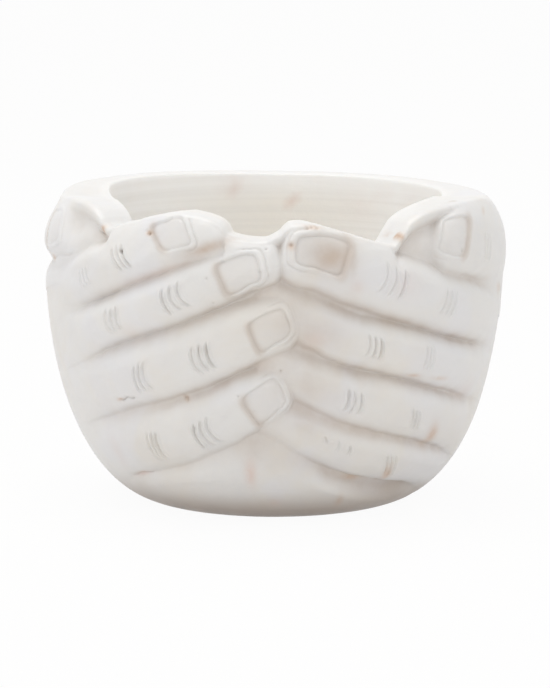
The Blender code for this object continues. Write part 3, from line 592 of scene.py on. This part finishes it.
def outlineRows(size):
    # radius, height and region of each row, from the foot's middle out, up and into the hollow
    footRadii = np.linspace(footHubRadius, blank["footRadius"], outlinePoints["foot"])[:-1]
    rimRadii = np.linspace(blank["rimOuter"], blank["rimInner"], outlinePoints["rim"])[1:-1]
    foot = [(radius, 0.0) for radius in footRadii]
    split = np.searchsorted(outline[:, 1], size["lowWallHeight"])
    low = evenSteps(outline[:split + 1], size["lowWallStep"])
    high = evenSteps(outline[split:], size["wallStep"])[1:]
    rim = [(radius, blank["rimHeight"]) for radius in rimRadii]
    hollow = hollowOutline()
    rows = np.vstack([foot, low, high, rim, hollow])
    region = np.repeat([footRegion, wallRegion, rimRegion, hollowRegion],
                       [len(foot), len(low) + len(high), len(rim), len(hollow)])
    return rows, region


def outlineNormals(rows):
    step = np.gradient(rows, axis=0)
    normals = np.column_stack([step[:, 1], -step[:, 0]])
    return normals / np.linalg.norm(normals, axis=1)[:, None]


def carvedSurface(size):
    # grid of azimuth by outline: the blank's point, lifted to the rim line, then moved along the
    # blank's normal by the tallest of the ground and the ten fingers
    columns = azimuthColumns(size)
    rows, region = outlineRows(size)
    normals2d = outlineNormals(rows)
    shape = (len(columns), len(rows))
    azimuth = np.repeat(columns, len(rows))
    azimuth = (azimuth + 180) % 360 - 180
    radius, blankHeight = (np.tile(rows[:, i], len(columns)) for i in range(2))
    outward, upward = (np.tile(normals2d[:, i], len(columns)) for i in range(2))
    regions = np.tile(region, len(columns))
    height = followRim(azimuth, blankHeight)
    angle = np.radians(azimuth)
    points = np.column_stack([radius * np.sin(angle), -radius * np.cos(angle), height])
    normals = np.column_stack([outward * np.sin(angle), -outward * np.cos(angle), upward])

    wall = (regions == wallRegion) & (blankHeight > touching)
    surface = -groundDepth(azimuth[wall], height[wall])
    polish = np.zeros(wall.sum())
    shadeLines = np.zeros(wall.sum())
    for name in fingers:
        finger = Finger(name)
        near = finger.covers(azimuth[wall], height[wall])
        relief, risen, plate, line = finger.relief(points[wall][near], normals[wall][near])
        onTop = relief > surface[near] - fingerForm["onTopGap"]
        polish[near] = np.where(onTop, plate, polish[near])
        shadeLines[near] = np.where(onTop, line, shadeLines[near])
        crease = finger.size.get("crease", fingerForm["crease"])
        surface[near] = softMax(surface[near], relief, crease * np.sqrt(risen))
    for *place, depth in softHollows:
        surface = surface - depth * patch(azimuth[wall], height[wall], place)
    surface = surface * ease((blank["rimHeight"] - blankHeight[wall]) / blank["rimFall"])
    damage = smallDamage(azimuth[wall], height[wall])
    surface -= damage + handWork(points[wall], azimuth[wall])
    cut = np.zeros(len(points))
    cut[wall] = surface
    nailMask, shadeLineMask, damageMask = (np.zeros(len(points)) for _ in range(3))
    nailMask[wall], shadeLineMask[wall], damageMask[wall] = polish, shadeLines, damage
    points += normals * cut[:, None]

    acrossRim = ease((blank["rimOuter"] - radius) / (blank["rimOuter"] - blank["hollowRadius"]))
    swell = acrossRim * ease((blankHeight - padForm["from"]) / padForm["swell"])
    swell = np.where(regions >= rimRegion, swell, 0.0)
    top = ease((blankHeight - padForm["topFrom"]) / (blank["rimHeight"] - padForm["topFrom"]))
    inwards = np.zeros(len(points))
    for middle, spread, reach, fall in thumbPads:
        pad = reach * swell * ridge(azimuth - middle, spread)
        inwards += pad
        points[:, 2] -= pad * fall * top
    points[:, :2] *= (1 - inwards / radius)[:, None]
    return {"points": points, "shape": shape, "azimuth": azimuth, "height": height,
            "region": regions, "cut": cut, "nail": nailMask, "line": shadeLineMask, "damage": damageMask}


def gridFaces(shape):
    # four corners for each cell, closed round the bowl, outside of the wall facing out
    columns, rows = shape
    i, j = np.meshgrid(np.arange(columns), np.arange(rows - 1), indexing="ij")
    nextColumn = (i + 1) % columns
    return np.stack([i * rows + j, nextColumn * rows + j, nextColumn * rows + j + 1, i * rows + j + 1],
                    axis=-1).reshape(-1, 4)


def capFaces(shape, row, centre, downwards):
    # triangles from one ring of the grid to a point on the axis
    columns, rows = shape
    ring = np.arange(columns) * rows + row
    following = np.roll(ring, -1)
    hub = np.full(columns, centre)
    return np.stack([hub, following, ring] if downwards else [hub, ring, following], axis=-1)


def writeMesh(name, points, quads, triangles, attributes):
    mesh = bpy.data.meshes.new(name)
    mesh.vertices.add(len(points))
    mesh.vertices.foreach_set("co", points.astype(np.float32).ravel())
    corners = np.concatenate([quads.ravel(), triangles.ravel()])
    sizes = np.concatenate([np.full(len(quads), 4), np.full(len(triangles), 3)])
    mesh.loops.add(len(corners))
    mesh.loops.foreach_set("vertex_index", corners.astype(np.int32))
    mesh.polygons.add(len(sizes))
    mesh.polygons.foreach_set("loop_start", np.concatenate([[0], np.cumsum(sizes)[:-1]]).astype(np.int32))
    mesh.polygons.foreach_set("use_smooth", np.ones(len(sizes), bool))
    mesh.update(calc_edges=True)
    for key, values in attributes.items():
        stored = mesh.attributes.new(key, "FLOAT", "POINT")
        stored.data.foreach_set("value", values.astype(np.float32))
    mesh.validate()
    piece = bpy.data.objects.new(name, mesh)
    bpy.context.scene.collection.objects.link(piece)
    return piece


def markStrength(azimuth, height, marks):
    total = np.zeros(len(azimuth))
    for *mark, strength in marks:
        total = np.maximum(total, strength * ridge(spot(azimuth, height, mark), stainsAndShade["markSoftness"]))
    return total


def makeBowl():
    size = fineness
    surface = carvedSurface(size)
    shape = surface["shape"]
    low, high = (np.array(corner) / mm for corner in cadBox)
    points = np.clip(surface["points"], low, high)
    count = len(points)
    floorHeight = blank["floorHeight"]
    points = np.vstack([points, [(0.0, 0.0, low[2]), (0.0, 0.0, floorHeight)]])
    quads = gridFaces(shape)
    triangles = np.vstack([capFaces(shape, 0, count, True), capFaces(shape, shape[1] - 1, count + 1, False)])
    azimuth, height, region = surface["azimuth"], surface["height"], surface["region"]
    carvedWall = region == wallRegion
    inside = region == hollowRegion
    belowRim = rimTop(azimuth) - height
    radius = np.hypot(surface["points"][:, 0], surface["points"][:, 1])
    leftShare = stainsAndShade["leftShare"]
    sideShare = ease((azimuth + stainsAndShade["leftUntil"]) / stainsAndShade["leftOver"])
    sideShare = leftShare + (1 - leftShare) * sideShare
    for *place, share in lessDirtAndShadePatches:
        sideShare = sideShare * (1 - share * patch(azimuth, height, place))
    # dirt and painted shade in the creases, darker the deeper the cut and weaker on the left
    creviceDirtAndShade = ease((-surface["cut"] - stainsAndShade["creviceDirtAndShadeFrom"]) / stainsAndShade["creviceDirtAndShadeOver"]) * sideShare
    basin = ridge((azimuth + 360) % 360 - stainsAndShade["basinMiddle"], stainsAndShade["basinSpread"])
    basin = basin * ease((belowRim - stainsAndShade["basinFrom"]) / stainsAndShade["basinOver"])
    innerRim = ease((stainsAndShade["rimRadius"] - radius) / stainsAndShade["rimOver"])
    rustShare = np.select([carvedWall, region == rimRegion], [1.0, innerRim], 0.0)
    pinkPlaces = carvedWall | (inside & (np.abs(azimuth) > stainsAndShade["backFrom"]))
    attributes = {
        "creviceDirtAndShade": np.where(carvedWall, creviceDirtAndShade, 0.0),
        # brown patches, dirt together with painted shade
        "dirtAndShade": np.where(carvedWall, markStrength(azimuth, height, dirtAndShadeMarks), 0.0),
        # painted shade along the nail's cuts and in the wrinkle cuts
        "line": ease(surface["line"] / stainsAndShade["shadeLineOver"]),
        "dark": ease((surface["damage"] - stainsAndShade["darkFrom"]) / stainsAndShade["darkOver"]),
        "stained": np.where(inside, basin, 0.0),
        # darker and browner towards the floor: a stain together with a painted contact shadow
        "foot": np.where(region <= wallRegion, ease(1 - height / stainsAndShade["footStainAndShadeHeight"]), 0.0),
        "hollow": np.where(inside, ease((belowRim + stainsAndShade["hollowFrom"]) / stainsAndShade["hollowOver"]), 0.0),
        # nail plates: smoother, with a faint painted shade in the colour
        "nail": surface["nail"],
        "rust": markStrength(azimuth, height, rustMarks) * rustShare,
        "pink": np.where(pinkPlaces, markStrength(azimuth, height, pinkMarks), 0.0),
    }
    # values at the last two points, the middle of the foot and of the floor
    ends = {"hollow": [0, 1], "foot": [1, 0], "stained": [0, 0.5]}
    attributes = {key: np.append(values, ends.get(key, [0, 0])) for key, values in attributes.items()}
    bowl = writeMesh("carved_bowl", points * mm, quads, triangles, attributes)
    made = 2 * len(quads) + len(triangles)
    if size["keptTriangles"]:
        fewer = bowl.modifiers.new("fewer", "DECIMATE")
        fewer.ratio = size["keptTriangles"] / made
    print("bowl surface:", made, "triangles before thinning")
    return bowl


def setSocket(tree, socket, value):
    # a link from another node, or a plain value
    if isinstance(value, bpy.types.NodeSocket):
        tree.links.new(value, socket)
    else:
        socket.default_value = value


def addNode(tree, kind, settings=None, **inputs):
    # the inputs are named after the node's sockets, with _ for each space
    node = tree.nodes.new(kind)
    for key, value in (settings or {}).items():
        setattr(node, key, value)
    for key, value in inputs.items():
        setSocket(tree, node.inputs[key.replace("_", " ")], value)
    return node


def mixColour(tree, factor, first, second):
    node = addNode(tree, "ShaderNodeMix", {"data_type": "RGBA"})
    for socket, value in zip((node.inputs[0], node.inputs[6], node.inputs[7]), (factor, first, second)):
        setSocket(tree, socket, value)
    return node.outputs[2]


def attributeOf(tree, name):
    return addNode(tree, "ShaderNodeAttribute", {"attribute_name": name}).outputs["Fac"]


def mathNode(tree, operation, first, second=0.0, clamp=False):
    node = addNode(tree, "ShaderNodeMath", {"operation": operation, "use_clamp": clamp})
    setSocket(tree, node.inputs[0], first)
    setSocket(tree, node.inputs[1], second)
    return node.outputs[0]


def rampBetween(tree, value, low, high):
    return addNode(tree, "ShaderNodeMapRange", {"interpolation_type": "SMOOTHSTEP"}, Value=value,
                   From_Min=low, From_Max=high).outputs[0]


marbleLook = {
    "white": (0.775, 0.764, 0.747, 1), "warm": (0.765, 0.735, 0.69, 1), "grey": (0.72, 0.715, 0.715, 1),
    # crevice: the brown of dirt and painted shade in the creases, along the lines and on the nail plates
    "hollow": (0.88, 0.84, 0.77, 1), "creviceDirtAndShade": (0.52, 0.425, 0.35, 1), "rust": (0.55, 0.33, 0.18, 1),
    "pink": (0.70, 0.50, 0.42, 1), "dark": (0.14, 0.09, 0.06, 1), "cool": (0.76, 0.757, 0.775, 1),
    # foot: brown of a stain together with a painted contact shadow
    "inside": (0.93, 0.92, 0.90, 1), "foot": (0.35, 0.265, 0.20, 1),
    "veinWidth": 0.02, "dirtAndShadeLeast": 0.34, "dirtAndShadeSpread": 0.24,
    "ringStretch": (2.0, 2.0, 260.0), "strokeStretch": (140.0, 140.0, 620.0), "strokeTilt": 0.5,
    "roughness": 0.40, "roughnessSpread": 0.16, "nailPolish": 0.06, "bump": 0.5, "bumpDepth": 0.0004,
    "subsurface": 0.12, "scatter": (1.0, 0.85, 0.7), "scatterDepth": 0.003, "refraction": 1.5,
}
# scale, detail, roughness and distortion of each noise
noises = {
    "cloud": (22, 5, 0.6, 0.6), "haze": (75, 4, 0.6, 0), "chill": (31, 2, 0.5, 0.8),
    "vein": (17, 6, 0.62, 1.4), "rings": (1.6, 3, 0.6, 0), "smears": (38, 3, 0.5, 0.4),
    "dirtAndShade": (110, 4, 0.55, 0), "grain": (420, 4, 0.7, 0), "worn": (120, 5, 0.6, 0),
    "scratch": (1, 3, 0.6, 0), "crystals": (900, 3, 0.6, 0), "waves": (55, 2, 0.5, 0),
    "dents": (260, 2, 0.5, 0),
}
# noise levels between which a layer comes in
noiseBands = {"cloud": (0.42, 0.68), "haze": (0.45, 0.75), "chill": (0.48, 0.66), "rings": (0.35, 0.7),
              "smears": (0.55, 0.72), "dirtAndShade": (0.3, 0.7), "grain": (0.05, 0.5)}
# how strongly each layer covers the ones before it
layerShares = {"haze": 0.35, "chill": 0.6, "vein": 0.16, "rings": 0.3, "smears": 0.1, "hollow": 0.9,
               "line": 0.5, "foot": 0.95, "nail": 0.09, "pink": 0.6, "rust": 0.8, "dark": 0.85}
# heights of the fine relief, as shares of bumpDepth
reliefShares = {"scratch": 0.3, "crystals": 0.2, "waves": 1.4, "dents": 0.45}


def noiseNode(tree, name, place):
    scale, detail, roughness, distortion = noises[name]
    return addNode(tree, "ShaderNodeTexNoise", Vector=place, Scale=scale, Detail=detail,
                   Roughness=roughness, Distortion=distortion).outputs["Fac"]


def noiseBand(tree, name, place):
    return rampBetween(tree, noiseNode(tree, name, place), *noiseBands[name])


def layer(tree, name, mask, colour, over):
    # the colour named over lies on the others where the mask is, as strongly as the layer's share
    return mixColour(tree, mathNode(tree, "MULTIPLY", mask, layerShares[name]), colour, over)


def marble():
    # clouds of three whites, thin grey veins, brown dirt and painted shade in the creases, warm stone inside
    look = marbleLook
    material = bpy.data.materials.new("honed_marble")
    material.use_nodes = True
    tree = material.node_tree
    shader = tree.nodes["Principled BSDF"]
    place = tree.nodes.new("ShaderNodeTexCoord").outputs["Object"]
    rings = addNode(tree, "ShaderNodeMapping", Vector=place, Scale=look["ringStretch"]).outputs[0]
    strokes = addNode(tree, "ShaderNodeMapping", Vector=place, Scale=look["strokeStretch"],
                      Rotation=(0.0, look["strokeTilt"], 0.0)).outputs[0]

    colour = mixColour(tree, noiseBand(tree, "cloud", place), look["white"], look["warm"])
    colour = layer(tree, "haze", noiseBand(tree, "haze", place), colour, look["grey"])
    colour = layer(tree, "chill", noiseBand(tree, "chill", place), colour, look["cool"])
    vein = mathNode(tree, "SUBTRACT", noiseNode(tree, "vein", place), 0.5)
    vein = rampBetween(tree, mathNode(tree, "ABSOLUTE", vein), 0.0, look["veinWidth"])
    colour = layer(tree, "vein", mathNode(tree, "SUBTRACT", 1.0, vein), colour, look["grey"])

    inside = mixColour(tree, attributeOf(tree, "stained"), look["inside"], look["hollow"])
    inside = layer(tree, "rings", noiseBand(tree, "rings", rings), inside, look["warm"])
    inside = layer(tree, "smears", noiseBand(tree, "smears", place), inside, look["pink"])
    colour = layer(tree, "hollow", attributeOf(tree, "hollow"), colour, inside)

    dirtAndShade = mathNode(tree, "MULTIPLY", noiseBand(tree, "dirtAndShade", place), look["dirtAndShadeSpread"])
    dirtAndShade = mathNode(tree, "ADD", dirtAndShade, look["dirtAndShadeLeast"])
    # dirt and painted shade in the creases and in the brown patches, broken up by noise
    creviceDirtAndShade = mathNode(tree, "MAXIMUM", attributeOf(tree, "creviceDirtAndShade"), attributeOf(tree, "dirtAndShade"))
    colour = mixColour(tree, mathNode(tree, "MULTIPLY", creviceDirtAndShade, dirtAndShade), colour, look["creviceDirtAndShade"])
    # painted shade along the lines, a stain with a painted contact shadow at the foot, and a faint painted
    # shade on the sunken nail plates
    for name, over in (("line", "creviceDirtAndShade"), ("foot", "foot"), ("nail", "creviceDirtAndShade")):
        colour = layer(tree, name, attributeOf(tree, name), colour, look[over])
    grain = noiseBand(tree, "grain", place)
    for name in ("pink", "rust"):
        mark = mathNode(tree, "MULTIPLY", attributeOf(tree, name), grain)
        colour = layer(tree, name, mark, colour, look[name])
    colour = layer(tree, "dark", attributeOf(tree, "dark"), colour, look["dark"])

    rough = mathNode(tree, "MULTIPLY", noiseNode(tree, "worn", place), look["roughnessSpread"])
    rough = mathNode(tree, "ADD", rough, look["roughness"] - look["roughnessSpread"] / 2)
    polish = mathNode(tree, "MULTIPLY", attributeOf(tree, "nail"), look["nailPolish"])
    rough = mathNode(tree, "SUBTRACT", rough, polish)

    relief = 0.0
    for name, share in reliefShares.items():
        noise = noiseNode(tree, name, strokes if name == "scratch" else place)
        relief = mathNode(tree, "ADD", relief, mathNode(tree, "MULTIPLY", noise, share))
    bump = addNode(tree, "ShaderNodeBump", Strength=look["bump"], Distance=look["bumpDepth"],
                   Height=relief)

    inputs = {"Base Color": colour, "Roughness": rough, "Normal": bump.outputs[0],
              "Subsurface Weight": look["subsurface"], "Subsurface Radius": look["scatter"],
              "Subsurface Scale": look["scatterDepth"], "IOR": look["refraction"]}
    for name, value in inputs.items():
        setSocket(tree, shader.inputs[name], value)
    return material


studio = {
    "world": 0.73, "floorColour": (0.78, 0.76, 0.74, 1), "floorGlow": 0.95, "floorSize": 6.0,
    "floorDrop": 2e-5, "aim": (0.0, 0.0, 0.05),
}
# place, power and size of each soft lamp
lamps = {
    "key_window": ((-0.15, 0.1, 1.3), 6.5, 0.8),
    "left_fill": ((-1.3, -0.3, 0.2), 2.5, 1.0),
    "right_fill": ((1.3, -0.3, 0.2), 1.8, 1.0),
    "front_fill": ((-0.2, -1.6, 0.12), 4.7, 1.2),
}


def shownBackground(tree):
    # 1 for rays that see the backdrop directly or in gloss
    path = tree.nodes.new("ShaderNodeLightPath")
    seen = mathNode(tree, "ADD", path.outputs["Is Camera Ray"], path.outputs["Is Glossy Ray"])
    return mathNode(tree, "ADD", seen, path.outputs["Is Transmission Ray"], clamp=True)


def makeWorld():
    world = bpy.data.worlds.new("white_studio")
    bpy.context.scene.world = world
    world.use_nodes = True
    tree = world.node_tree
    background = tree.nodes["Background"]
    background.inputs["Color"].default_value = (1, 1, 1, 1)
    strength = mathNode(tree, "MULTIPLY", shownBackground(tree), 1.0 - studio["world"])
    tree.links.new(mathNode(tree, "ADD", strength, studio["world"]), background.inputs["Strength"])


def makeFloor():
    size = studio["floorSize"]
    mesh = bpy.data.meshes.new("studio_floor")
    corners = [(x * size, y * size, -studio["floorDrop"]) for x, y in ((-1, -1), (1, -1), (1, 1), (-1, 1))]
    mesh.from_pydata(corners, [], [(0, 1, 2, 3)])
    floor = bpy.data.objects.new("studio_floor", mesh)
    bpy.context.scene.collection.objects.link(floor)
    material = bpy.data.materials.new("pale_floor")
    material.use_nodes = True
    tree = material.node_tree
    tree.nodes.remove(tree.nodes["Principled BSDF"])
    matt = addNode(tree, "ShaderNodeBsdfDiffuse", Color=studio["floorColour"])
    glow = addNode(tree, "ShaderNodeEmission", Color=(1, 1, 1, 1), Strength=1.0)
    share = mathNode(tree, "MULTIPLY", shownBackground(tree), studio["floorGlow"])
    mixed = addNode(tree, "ShaderNodeMixShader")
    for socket, value in zip(mixed.inputs, (share, matt.outputs[0], glow.outputs[0])):
        tree.links.new(value, socket)
    tree.links.new(mixed.outputs[0], tree.nodes["Material Output"].inputs["Surface"])
    mesh.materials.append(material)


def softLamp(name, place, power, size):
    light = bpy.data.lights.new(name, "AREA")
    light.energy = power
    light.size = size
    lamp = bpy.data.objects.new(name, light)
    lamp.location = place
    aim = Vector(studio["aim"]) - Vector(place)
    lamp.rotation_euler = aim.to_track_quat("-Z", "Y").to_euler()
    bpy.context.scene.collection.objects.link(lamp)


camera = {"distance": 1.1, "elevation": 9.0, "aim": (0.0, 0.0, 0.05), "lens": 173.8, "film": 36.0,
          "shiftX": 0.0007, "far": 20.0}


def makeCamera():
    data = bpy.data.cameras.new("photo_view")
    data.sensor_fit = "VERTICAL"
    data.sensor_height = camera["film"]
    data.lens = camera["lens"]
    data.shift_x = camera["shiftX"]
    data.clip_end = camera["far"]
    rig = bpy.data.objects.new("photo_view", data)
    tilt = math.radians(camera["elevation"])
    offset = Vector((0.0, -math.cos(tilt), math.sin(tilt)))
    rig.location = Vector(camera["aim"]) + offset * camera["distance"]
    rig.rotation_euler = (-offset).to_track_quat("-Z", "Y").to_euler()
    bpy.context.scene.collection.objects.link(rig)
    bpy.context.scene.camera = rig


makeCamera()
makeWorld()
makeFloor()
for name, (place, power, size) in lamps.items():
    softLamp(name, place, power, size)
print("studio is set")

bowl = makeBowl()
bowl.data.materials.append(marble())
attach(bowl, "root")
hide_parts("hand_bowl")
print("bowl is dressed")

bpy.context.scene.view_settings.view_transform = "Standard"
